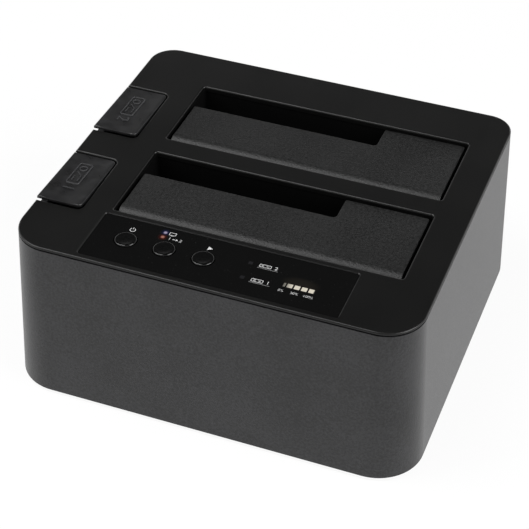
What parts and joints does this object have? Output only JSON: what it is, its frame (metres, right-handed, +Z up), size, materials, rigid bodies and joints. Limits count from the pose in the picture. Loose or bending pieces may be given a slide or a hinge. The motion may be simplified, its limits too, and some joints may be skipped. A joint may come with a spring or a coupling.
{
  "type": "drive duplicator",
  "caption": "Two-bay hard drive docking and copying station with sprung slot flaps, eject rockers and a top control panel.",
  "frame": {"origin": "middle of the footprint, on the plane the feet stand on", "axes": "+X to the right along the front, +Y to the back (ports), +Z up"},
  "size_m": [0.151, 0.1358, 0.0652],
  "materials": {
    "base_plastic": "matte",
    "board_green": "solder mask",
    "button_plastic": "satin",
    "can_metal": "satin",
    "chip_black": "matte",
    "connector_plastic": "satin",
    "contact_gold": "gold flash",
    "cover_plastic": "satin black",
    "ejector_plastic": "satin",
    "flap_plastic": "matte grain",
    "foot_rubber": "matte",
    "header_plastic": "satin",
    "jack_plastic": "satin",
    "lamp_blue": "lit",
    "lamp_chip": "satin",
    "lamp_red": "lit",
    "panel_gloss": "gloss",
    "pin_metal": "plated",
    "plunger_plastic": "satin",
    "port_metal": "plated",
    "ribbon_grey": "satin",
    "rocker_plastic": "satin",
    "rod_steel": "ground",
    "screw_steel": "plated",
    "shell_plastic": "fine matte grain",
    "spring_steel": "drawn wire",
    "switch_metal": "satin",
    "tongue_plastic": "satin",
    "well_plastic": "matte",
    "window_cream": "translucent look",
    "window_dark": "gloss"
  },
  "bodies": {
    "housing": {"base_plate": "base_plastic", "base_screws": "screw_steel", "blue_light_pipe": "lamp_blue", "board_screws": "screw_steel", "capacitors": "can_metal", "control_panel": "panel_gloss", "controller_chips": "chip_black", "dc_jack": "jack_plastic", "dc_jack_pin": "pin_metal", "drive_light_pipes": "window_dark", "drive_well_front": "well_plastic", "drive_well_rear": "well_plastic", "eject_rod_front": "rod_steel", "eject_rod_rear": "rod_steel", "eject_spring_front": "spring_steel", "eject_spring_rear": "spring_steel", "flap_rod_front": "rod_steel", "flap_rod_rear": "rod_steel", "flap_spring_front": "spring_steel", "flap_spring_rear": "spring_steel", "gauge_light_pipe": "window_cream", "main_board": "board_green", "outer_shell": "shell_plastic", "panel_board": "board_green", "panel_lamps": "lamp_chip", "panel_screws": "screw_steel", "red_light_pipe": "lamp_red", "ribbon_cable": "ribbon_grey", "ribbon_headers": "header_plastic", "rubber_feet": "foot_rubber", "sata_connector_front": "connector_plastic", "sata_connector_rear": "connector_plastic", "sata_contacts_front": "contact_gold", "sata_contacts_rear": "contact_gold", "tact_switches": "switch_metal", "top_cover": "cover_plastic", "usb_port": "port_metal", "usb_tongue": "tongue_plastic", "well_screws": "screw_steel"},
    "flap_front": {"flap_front": "flap_plastic"},
    "rocker_front": {"eject_rocker_front": "rocker_plastic"},
    "ejector_front": {"ejector_front": "ejector_plastic"},
    "flap_rear": {"flap_rear": "flap_plastic"},
    "rocker_rear": {"eject_rocker_rear": "rocker_plastic"},
    "ejector_rear": {"ejector_rear": "ejector_plastic"},
    "power_button": {"power_button": "button_plastic", "power_plunger": "plunger_plastic"},
    "mode_button": {"mode_button": "button_plastic", "mode_plunger": "plunger_plastic"},
    "start_button": {"start_button": "button_plastic", "start_plunger": "plunger_plastic"}
  },
  "joints": [
    {"name": "flap_front_hinge", "type": "hinge", "parent": "housing", "child": "flap_front", "pos_m": [0, -0.03135, 0.05895], "axis": [-1, 0, 0], "range_deg": [0, 86], "stiffness_Nm_per_rad": 0.004, "springref_deg": -68.75, "deforming": ["flap_spring_front"]},
    {"name": "rocker_front_hinge", "type": "hinge", "parent": "housing", "child": "rocker_front", "pos_m": [-0.063, -0.02985, 0.06015], "axis": [1, 0, 0], "range_deg": [0, 8.5]},
    {"name": "ejector_front_slide", "type": "slide", "parent": "housing", "child": "ejector_front", "axis": [0, 0, 1], "range_m": [0, 0.00338], "stiffness_N_per_m": 250, "springref_m": -0.005, "deforming": ["eject_spring_front"]},
    {"name": "flap_rear_hinge", "type": "hinge", "parent": "housing", "child": "flap_rear", "pos_m": [0, 0.01475, 0.05895], "axis": [-1, 0, 0], "range_deg": [0, 86], "stiffness_Nm_per_rad": 0.004, "springref_deg": -68.75, "deforming": ["flap_spring_rear"]},
    {"name": "rocker_rear_hinge", "type": "hinge", "parent": "housing", "child": "rocker_rear", "pos_m": [-0.063, 0.01625, 0.06015], "axis": [1, 0, 0], "range_deg": [0, 8.5]},
    {"name": "ejector_rear_slide", "type": "slide", "parent": "housing", "child": "ejector_rear", "axis": [0, 0, 1], "range_m": [0, 0.00338], "stiffness_N_per_m": 250, "springref_m": -0.005, "deforming": ["eject_spring_rear"]},
    {"name": "power_button_press", "type": "slide", "parent": "housing", "child": "power_button", "axis": [0, 0, -1], "range_m": [0, 0.0005], "stiffness_N_per_m": 500, "springref_m": -0.001},
    {"name": "mode_button_press", "type": "slide", "parent": "housing", "child": "mode_button", "axis": [0, 0, -1], "range_m": [0, 0.0005], "stiffness_N_per_m": 500, "springref_m": -0.001},
    {"name": "start_button_press", "type": "slide", "parent": "housing", "child": "start_button", "axis": [0, 0, -1], "range_m": [0, 0.0005], "stiffness_N_per_m": 500, "springref_m": -0.001}
  ],
  "couplings": [
    {"joint": "rocker_front_hinge", "follows": "ejector_front_slide", "rad_per_m": 43.84},
    {"joint": "rocker_rear_hinge", "follows": "ejector_rear_slide", "rad_per_m": 43.84}
  ]
}
